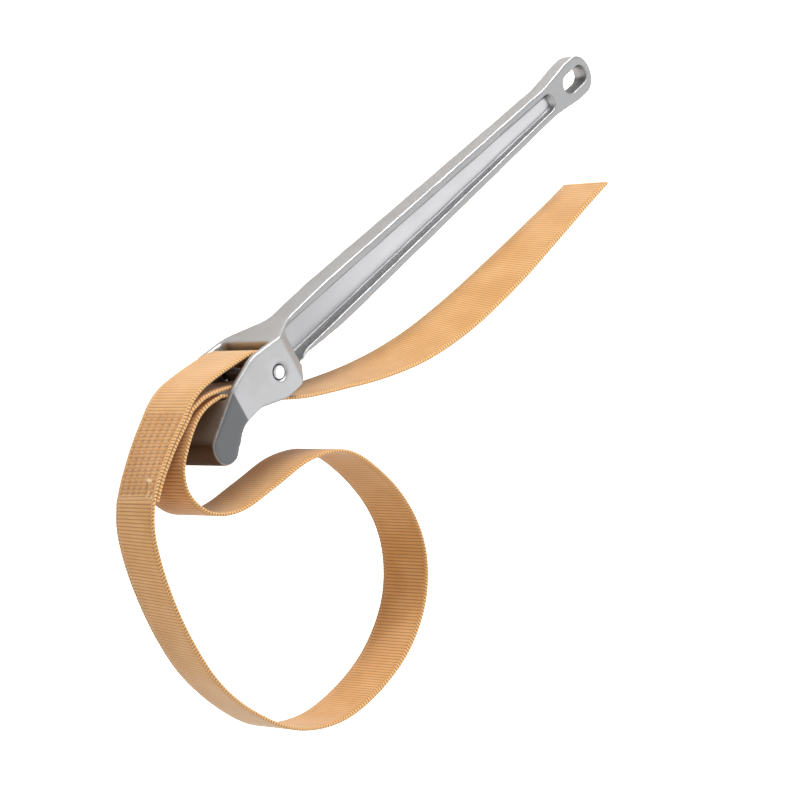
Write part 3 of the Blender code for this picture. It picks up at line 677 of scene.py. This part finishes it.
def needle_pull(run, span):
    """How far the sewing pulls the webbing in, from 0 to 1 at each needle hole."""
    half_row, half_stitch = ROW_PITCH / 2, STITCH_LENGTH / 2
    to_row = (span + STRAP_WIDTH / 2 - STITCH_MARGIN + half_row) % ROW_PITCH - half_row
    pull = np.zeros(np.broadcast(run, span).shape)
    for start in (outer_sewn_from, folded_sewn_from):
        to_hole = (run - start + half_stitch) % STITCH_LENGTH - half_stitch
        sewn = (run > start - DIMPLE_REACH) & (run < start + sewn_length + DIMPLE_REACH)
        pull = np.maximum(pull, sewn * np.exp(-(to_row ** 2 + to_hole ** 2) / DIMPLE_REACH ** 2))
    return pull


def strap_section(face_points):
    """One round of the webbing's cross-section: across, height, and the angle on the edge cord."""
    edge = STRAP_WIDTH / 2 - CORD_RADIUS
    inner = edge - CORD_RADIUS - GROOVE_WIDTH
    groove = edge - GROOVE_PLACE * CORD_RADIUS
    surface, dip = BODY_THICKNESS / 2, BODY_THICKNESS / 2 - GROOVE_DEPTH
    face = np.linspace(-inner, inner, face_points)
    rows = []
    for side in (1, -1):
        rows += [(side * across, side * surface, 0.0) for across in face]
        rows += [(side * groove, side * dip, 0.0)]
        start = 0.0 if side > 0 else math.pi
        rows += [(side * edge, 0.0, start + a) for a in np.radians(CORD_ANGLES)]
        rows += [(side * groove, -side * dip, 0.0)]
    section = np.array(rows)
    on_cord = np.abs(np.abs(section[:, 0]) - edge) < 1e-9
    return section, on_cord


def strap_piece(name, first, last, material, face_points=FACE_POINTS):
    """The stretch of webbing between two stations, closed at both ends."""
    section, on_cord = strap_section(face_points)
    run = strap_run[first:last + 1, None]
    phase = 2 * math.pi * run / TWIST_PITCH + 2 * section[None, :, 2]
    twist = 1.0 - CORD_DIP + CORD_DIP * np.abs(np.sin(phase / 2))
    radius = np.where(on_cord, CORD_RADIUS * twist, 0.0)
    across = section[None, :, 0] + radius * np.cos(section[None, :, 2])
    height = section[None, :, 1] + radius * np.sin(section[None, :, 2])
    width_sway = 1.0 + 0.004 * np.sin(run / 23.0) + 0.003 * np.sin(run / 9.1 + 1.0)
    across = across * width_sway
    ribs = RIB_RISE * (np.abs(np.sin(math.pi * run / RIB_PITCH)) - 1.0)
    face_side = np.where(on_cord, 0.0, np.sign(section[:, 1]))
    height = height + face_side * (ribs - DIMPLE_DEPTH * needle_pull(run, across))
    middle = strap_route[first:last + 1, None]
    left = strap_left[first:last + 1, None]
    shift = height - lean[first:last + 1, None] * across / (STRAP_WIDTH / 2)
    flat = middle + left * shift[..., None]
    points = world(flat[..., 0], flat[..., 1], across)
    rounds, ring = points.shape[:2]
    index = np.arange(rounds * ring).reshape(rounds, ring)
    ahead = np.roll(index, -1, axis=1)
    quads = np.stack([index[:-1], ahead[:-1], ahead[1:], index[1:]], axis=-1).reshape(-1, 4)
    faces = quads[:, ::-1].tolist() + [index[0].tolist(), index[-1, ::-1].tolist()]
    mesh = bpy.data.meshes.new(name)
    mesh.from_pydata(points.reshape(-1, 3).tolist(), [], faces)
    for label, values in (("run", np.broadcast_to(run, across.shape)), ("span", across)):
        mesh.attributes.new(label, "FLOAT", "POINT").data.foreach_set(
            "value", (values * MM).astype(np.float32).ravel())
    mesh.shade_smooth()
    mesh.set_sharp_from_angle(angle=math.radians(60))
    mesh.materials.append(material)
    mesh.update()
    return new_object(name, mesh)


def weave_group():
    """Crosswise ribs with the yarns passing over and under them: a height, and a mask of painted
    shade in the valleys between the ribs, with the yarns' pattern in it.
    """
    group, given, out = node_group(
        "Weave",
        [("Run", "NodeSocketFloat"), ("Span", "NodeSocketFloat"), ("Rib", "NodeSocketFloat"),
         ("Yarn", "NodeSocketFloat")],
        [("Height", "NodeSocketFloat"), ("Shade", "NodeSocketFloat")])
    along = maths(group, "DIVIDE", given.outputs["Run"], given.outputs["Rib"])
    beside = maths(group, "DIVIDE", given.outputs["Span"], given.outputs["Yarn"])
    ridge = size_of(group, maths(group, "SINE", times(group, along, math.pi)))
    shifted = maths(group, "MULTIPLY_ADD", maths(group, "FLOOR", along), 0.5, beside)
    yarns = maths(group, "SINE", times(group, shifted, 2 * math.pi))
    valley = maths(group, "SUBTRACT", 1.0, ramp(group, ridge, 0.05, 0.78))
    shade = maths(group, "MULTIPLY_ADD", valley, 0.75, 0.10)
    group.links.new(maths(group, "MULTIPLY_ADD", yarns, 0.16, ridge), out.inputs["Height"])
    group.links.new(maths(group, "MULTIPLY_ADD", yarns, -0.10, shade, clamp=True),
                    out.inputs["Shade"])
    return group


def needle_group():
    """Dimples that the sewing pulls into the lap: 1 in each, between two distances along it."""
    group, given, out = node_group(
        "Needle dimples",
        [("Run", "NodeSocketFloat"), ("Span", "NodeSocketFloat"), ("From", "NodeSocketFloat"),
         ("To", "NodeSocketFloat")],
        [("Mask", "NodeSocketFloat"), ("Sewn", "NodeSocketFloat")])
    half_row = ROW_PITCH / 2 * MM
    run, start = given.outputs["Run"], given.outputs["From"]
    off_row = maths(group, "PINGPONG",
                    maths(group, "ADD", given.outputs["Span"], half_row), half_row)
    off_hole = maths(group, "PINGPONG", maths(group, "SUBTRACT", run, start),
                     STITCH_LENGTH / 2 * MM)
    away = ramp(group, maths(group, "ADD", off_row, off_hole), *NEEDLE_FADE)
    inside = times(group, maths(group, "GREATER_THAN", run, start),
                   maths(group, "LESS_THAN", run, given.outputs["To"]))
    group.links.new(times(group, maths(group, "SUBTRACT", 1.0, away), inside), out.inputs["Mask"])
    group.links.new(inside, out.inputs["Sewn"])
    return group


weave = weave_group()
needle_dimples = needle_group()


def cord_twist(tree, run, span):
    """How much of the edge cord's upper strand shows, from the twist that runs along it."""
    turned_by = maths(tree, "MULTIPLY_ADD", run, math.pi / (TWIST_PITCH * MM),
                      times(tree, span, 900.0))
    return ramp(tree, size_of(tree, maths(tree, "SINE", turned_by)), 0.15, 0.85)


def tan_webbing():
    material, tree, shader = new_material("tan_webbing")
    run = add_node(tree, "ShaderNodeAttribute", attribute_name="run").outputs["Fac"]
    span = add_node(tree, "ShaderNodeAttribute", attribute_name="span").outputs["Fac"]
    where = add_node(tree, "ShaderNodeCombineXYZ", {"X": run, "Y": span}).outputs[0]
    woven = placed(tree, weave, Run=run, Span=span, Rib=RIB_PITCH * MM, Yarn=YARN_PITCH * MM)
    sewn = [placed(tree, needle_dimples, Run=run, Span=span, From=start * MM,
                   To=(start + sewn_length) * MM)
            for start in (outer_sewn_from, folded_sewn_from)]
    holes = maths(tree, "MAXIMUM", *[layer.outputs["Mask"] for layer in sewn])
    stitched = maths(tree, "MAXIMUM", *[layer.outputs["Sewn"] for layer in sewn])
    uneven = ramp(tree, noise(tree, where, 330.0, 2.0), 0.36, 0.62)
    holes = times(tree, holes, maths(tree, "MULTIPLY_ADD", uneven, 0.75, 0.25))
    cord = ramp(tree, size_of(tree, span), CORD_INNER, CORD_OUTER)
    twist = cord_twist(tree, run, span)
    fibres = noise(tree, where, 2600.0, 2.0)
    tone = mixed(tree, ramp(tree, noise(tree, where, 42.0, 3.0), 0.3, 0.7), WEB_MID, WEB_LIGHT)
    # Painted shade in the weave's valleys between the ribs.
    for mask, colour in ((times(tree, woven.outputs["Shade"], 0.95), WEB_DEEP),
                         (times(tree, stitched, 0.24), WEB_DEEP),
                         # The edge cord's own colour band, with painted shade in the gaps of its
                         # twist.
                         (cord, mixed(tree, twist, WEB_DEEP, WEB_GOLD)),
                         # Painted shade in the needle dimples.
                         (holes, WEB_DEEP),
                         (times(tree, ramp(tree, fibres, 0.55, 0.8), 0.25), WEB_GOLD)):
        tone = mixed(tree, mask, tone, colour)
    feed(tree, shader, Base_Color=tone,
         Roughness=maths(tree, "MULTIPLY_ADD", woven.outputs["Shade"], 0.15, 0.72))
    shader.inputs["Sheen Weight"].default_value = 0.8
    shader.inputs["Sheen Roughness"].default_value = 0.45
    shader.inputs["Sheen Tint"].default_value = (1.0, 0.95, 0.86, 1.0)
    shader.inputs["Specular IOR Level"].default_value = 0.4
    height = maths(tree, "MULTIPLY_ADD", fibres, 0.3, woven.outputs["Height"])
    height = maths(tree, "MULTIPLY_ADD", twist, cord, height)
    height = maths(tree, "MULTIPLY_ADD", holes, -1.2, height)
    bumped(tree, shader, height, 0.6, 0.16 * MM)
    return material


webbing = tan_webbing()


strap_eye = strap_piece("strap_sewn_eye", 0, lap_end_at, webbing, SEWN_FACE_POINTS)
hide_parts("strap_eye")
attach(strap_eye, "strap_loop_body")

strap_loop = strap_piece("strap_big_loop", lap_end_at, split_at, webbing)
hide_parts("strap_loop")
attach(strap_loop, "strap_loop_body")

strap_return = strap_piece("strap_way_back", split_at, entry_at, webbing)
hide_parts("strap_return")
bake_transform(strap_return)

strap_throat = strap_piece("strap_in_throat", entry_at, exit_at, webbing)
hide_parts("strap_throat")
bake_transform(strap_throat)

strap_tail = strap_piece("strap_loose_tail", exit_at, last_station, webbing)
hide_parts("strap_tail")
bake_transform(strap_tail)

# The direction from the lap's end to the loop's split, and a mesh of the loop's own.
loop_chord = strap_route[split_at] - strap_route[lap_end_at]
loop_chord /= np.linalg.norm(loop_chord)
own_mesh(strap_loop)


# ---- Sewing of the lap ----
# Six rows of heavy thread through both layers, each a line of single stitches on both faces.
# Every stitch stands proud in its middle and dives into a needle hole at both ends.
THREAD_TONE = (0.78, 0.41, 0.125, 1.0)
THREAD_DEEP = (0.52, 0.23, 0.055, 1.0)
THREAD_RADIUS = 0.42
THREAD_SIDES = 8
STITCH_RINGS = 9
STITCH_INSET = 0.06            # share of its length that a stitch leaves free at each end
STITCH_RISE = 0.62
STITCH_SINK = 0.50             # its ends lie this far below the webbing's face
STITCH_FULLNESS = 0.6


def tube(points, radii, sides):
    """Vertices and faces of a closed tube through points, in the frame's own place."""
    along = headings(points)
    beside = np.cross(along, (0.0, 0.0, 1.0))
    beside /= np.maximum(np.linalg.norm(beside, axis=1), 1e-9)[:, None]
    above = np.cross(beside, along)
    angles = (np.arange(sides) * 2 * math.pi / sides)[None, :, None]
    circle = beside[:, None] * np.cos(angles) + above[:, None] * np.sin(angles)
    vertices = (points[:, None] + circle * np.asarray(radii)[:, None, None]).reshape(-1, 3)
    faces = []
    for ring in range(len(points) - 1):
        for k in range(sides):
            a, b = ring * sides + k, ring * sides + (k + 1) % sides
            faces.append((a, b, b + sides, a + sides))
    faces.append(tuple(range(sides))[::-1])
    faces.append(tuple((len(points) - 1) * sides + k for k in range(sides)))
    return vertices, faces


def tubes_object(name, runs, sides, material):
    """One object of a closed tube for each run of points and radii."""
    vertices, faces = [], []
    for points, radii in runs:
        some, corners = tube(np.asarray(points, float), radii, sides)
        faces += [tuple(c + len(vertices) for c in face) for face in corners]
        vertices += some.tolist()
    mesh = bpy.data.meshes.new(name)
    mesh.from_pydata(vertices, [], faces)
    shape = bmesh.new()
    shape.from_mesh(mesh)
    bmesh.ops.recalc_face_normals(shape, faces=shape.faces)
    shape.to_mesh(mesh)
    shape.free()
    mesh.shade_smooth()
    mesh.materials.append(material)
    return new_object(name, mesh)


def sewing_thread(name, pale, deep):
    material, tree, shader = new_material(name)
    plies = add_node(tree, "ShaderNodeTexWave",
                     {"Vector": object_place(tree), "Scale": 900.0, "Distortion": 1.5},
                     bands_direction="DIAGONAL").outputs["Fac"]
    feed(tree, shader, Base_Color=mixed(tree, plies, deep, pale),
         Roughness=maths(tree, "MULTIPLY_ADD", plies, -0.15, 0.75))
    bumped(tree, shader, plies, 0.4, 0.06 * MM)
    return material


thread = sewing_thread("sewing_thread", THREAD_TONE, THREAD_DEEP)
lap_left = left_of(lap)
lap_leans = lap_lean(lap[:, 0])


def row_of_stitches(side, span):
    """Arched threads along the lap, on its outer face (side -1) or its inner face (side +1)."""
    surface = -BODY_THICKNESS / 2 if side < 0 else LAYER_PITCH + BODY_THICKNESS / 2
    runs = []
    for k in range(stitch_count):
        share = np.linspace(0.0, 1.0, STITCH_RINGS)
        marks = STITCH_START + STITCH_LENGTH * (k + STITCH_INSET + (1 - 2 * STITCH_INSET) * share)
        arch = np.sin(math.pi * share)
        height = surface + side * (STITCH_RISE * arch ** STITCH_FULLNESS - STITCH_SINK)
        columns = [np.interp(marks, lap_far, c) for c in (*lap.T, *lap_left.T, lap_leans)]
        shift = height - columns[4] * span / (STRAP_WIDTH / 2)
        points = world(columns[0] + columns[2] * shift, columns[1] + columns[3] * shift,
                       np.full(STITCH_RINGS, span))
        runs.append((points, THREAD_RADIUS * MM * (0.7 + 0.3 * arch)))
    return runs


for face, side in (("outer", -1), ("inner", 1)):
    for row in range(STITCH_ROWS):
        span = -STRAP_WIDTH / 2 + STITCH_MARGIN + row * ROW_PITCH
        stitches = tubes_object(f"thread_{face}_{row + 1}", row_of_stitches(side, span),
                                THREAD_SIDES, thread)
        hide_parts(f"stitch_{face}_{row + 1}")
        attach(stitches, "strap_loop_body")


# ---- Frayed raw end ----
# The folded layer is cut square and left raw, so its yarns fray where the lap ends.
# Short loose fibres stand out of the cut, each a tapering bent hair, and a few yarns have been
# pulled out of the sewing beside it.
FRAY_COUNT = 90
FRAY_RADIUS = 0.1
FRAY_SIDES = 6
LOOSE_RADIUS = 0.62
LOOSE_LIFT = 1.7               # a pulled yarn stands this far off the face
# Each pulled yarn: distance before the lap's end, place across, length and sideways curl.
PULLED_YARNS = ((11.0, 12.5, 9.0, -2.5), (11.5, 13.2, 8.0, -1.4), (12.0, 13.9, 6.5, 0.4),
                (3.5, 12.5, 8.0, 4.0), (1.0, 17.0, 7.0, 2.5), (1.5, 18.4, 5.0, 1.0))
YARN_PALE = (0.88, 0.68, 0.44, 1.0)
YARN_SHADE = (0.66, 0.42, 0.20, 1.0)
fray_draw = random.Random(7)


def fray_fibres():
    """Short hairs out of the cut, each drawn at random from a fixed seed."""
    start, left = strap_route[0], strap_left[0]
    heading = (start - strap_route[4]) / np.linalg.norm(start - strap_route[4])
    runs = []
    for _ in range(FRAY_COUNT):
        span = fray_draw.uniform(-0.48, 0.48) * STRAP_WIDTH
        height = fray_draw.uniform(-0.45, 0.45) * BODY_THICKNESS
        length = fray_draw.uniform(0.5, 2.2)
        bend, droop = fray_draw.uniform(-0.7, 0.7), fray_draw.uniform(-0.6, 0.6)
        marks = np.linspace(0.0, 1.0, 5)[:, None]
        base = start + left * (height - lean[0] * span / (STRAP_WIDTH / 2))
        flat = base + heading * (marks * length - 0.3) + left * bend * marks ** 2
        points = world(*flat.T, span + droop * marks[:, 0] ** 2)
        runs.append((points, FRAY_RADIUS * MM * (1.0 - 0.7 * marks[:, 0])))
    return runs


def pulled_thread(back, span, length, curl):
    """A loose end that has worked out of the outer face, this far before the lap's end."""
    marks = np.linspace(0.0, 1.0, 14)
    at = lap_far[-1] - back - length * 0.5 * marks
    x, y, left_x, left_y = [np.interp(at, lap_far, c) for c in (*lap.T, *lap_left.T)]
    lift = LOOSE_LIFT * np.sin(math.pi * (0.15 + 0.85 * marks) * 0.8)
    out = -(BODY_THICKNESS / 2 + 0.1 + lift)
    sway = span + curl * marks + 0.8 * np.sin(5.0 * marks)
    points = world(x + left_x * out, y + left_y * out, sway)
    return points, LOOSE_RADIUS * MM * (1.0 - 0.55 * marks ** 2)


loose_yarn = sewing_thread("loose_yarn", YARN_PALE, YARN_SHADE)
fray = tubes_object("raw_end_fray", fray_fibres() + [pulled_thread(*yarn) for yarn in PULLED_YARNS],
                    FRAY_SIDES, loose_yarn)
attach(fray, "strap_loop_body")


# ---- Floor, light and camera ----
# A plain pale floor under the lower cheek, white where the camera sees it straight. One large soft
# light faces the handle, one the strap's bright side and a weak one the loop, under a sky that is
# darker on the strap's side. A long lens looks down from high on the head's side.
CAMERA_PLACE = (-1.15835, 0.80069, 1.70928)
CAMERA_RIGHT = (0.5987, -0.423836, 0.679647)
CAMERA_UP = (0.575386, 0.817876, 0.003181)
CAMERA_BACK = (-0.557215, 0.389155, 0.733532)
CAMERA_LENS = 150.71
FLOOR_REACH = 6.0
FLOOR_GAP = 0.2 * MM           # below the lowest part, so that the two never share a plane
SKY_DARK = (0.34, 0.34, 0.34, 1.0)
SKY_PALE = (0.92, 0.92, 0.93, 1.0)

floor_mesh = bpy.data.meshes.new("floor")
floor_corners = [(x * FLOOR_REACH, y * FLOOR_REACH, 0.0)
                 for x, y in ((-1, -1), (1, -1), (1, 1), (-1, 1))]
floor_mesh.from_pydata(floor_corners, [], [(0, 1, 2, 3)])
floor = new_object("floor", floor_mesh)
floor.location.z = cad_low.z - FLOOR_GAP
floor_paint, floor_tree, floor_shader = new_material("floor_paint")
floor_shader.inputs["Base Color"].default_value = (0.84, 0.81, 0.78, 1.0)
floor_shader.inputs["Roughness"].default_value = 0.9
floor_shader.inputs["Emission Color"].default_value = (1.0, 1.0, 1.0, 1.0)
seen_straight = floor_tree.nodes.new("ShaderNodeLightPath").outputs["Is Camera Ray"]
feed(floor_tree, floor_shader, Emission_Strength=seen_straight)
floor.data.materials.append(floor_paint)


def soft_light(name, place, size, power):
    """A square light facing the middle of the object."""
    lamp = bpy.data.lights.new(name, "AREA")
    lamp.shape = "SQUARE"
    lamp.size = size
    lamp.energy = power
    made = new_object(name, lamp)
    centre = (cad_low + cad_high) / 2
    made.location = place
    made.rotation_euler = (centre - made.location).to_track_quat("-Z", "Y").to_euler()


soft_light("face_light", (3.3, -2.2, 3.5), 3.0, 36.0)
soft_light("strap_light", (1.6, 1.95, 1.2), 1.4, 84.0)
soft_light("loop_light", (-2.4, -0.3, 1.2), 1.4, 12.0)

sky = bpy.data.worlds.new("studio")
sky.use_nodes = True
sky_tree = sky.node_tree
sky_way = parts_of(sky_tree, sky_tree.nodes.new("ShaderNodeTexCoord").outputs["Generated"])
sky_tone = mixed(sky_tree, ramp(sky_tree, sky_way["Y"], 0.45, -0.45), SKY_DARK, SKY_PALE)
sky_tree.links.new(sky_tone, sky_tree.nodes["Background"].inputs["Color"])
bpy.context.scene.world = sky
bpy.context.scene.view_settings.view_transform = "Standard"

lens = bpy.data.cameras.new("camera")
lens.lens = CAMERA_LENS
camera = new_object("camera", lens)
turned_to = Matrix((CAMERA_RIGHT, CAMERA_UP, CAMERA_BACK)).transposed()
camera.matrix_world = Matrix.Translation(CAMERA_PLACE) @ turned_to.to_4x4()
bpy.context.scene.camera = camera
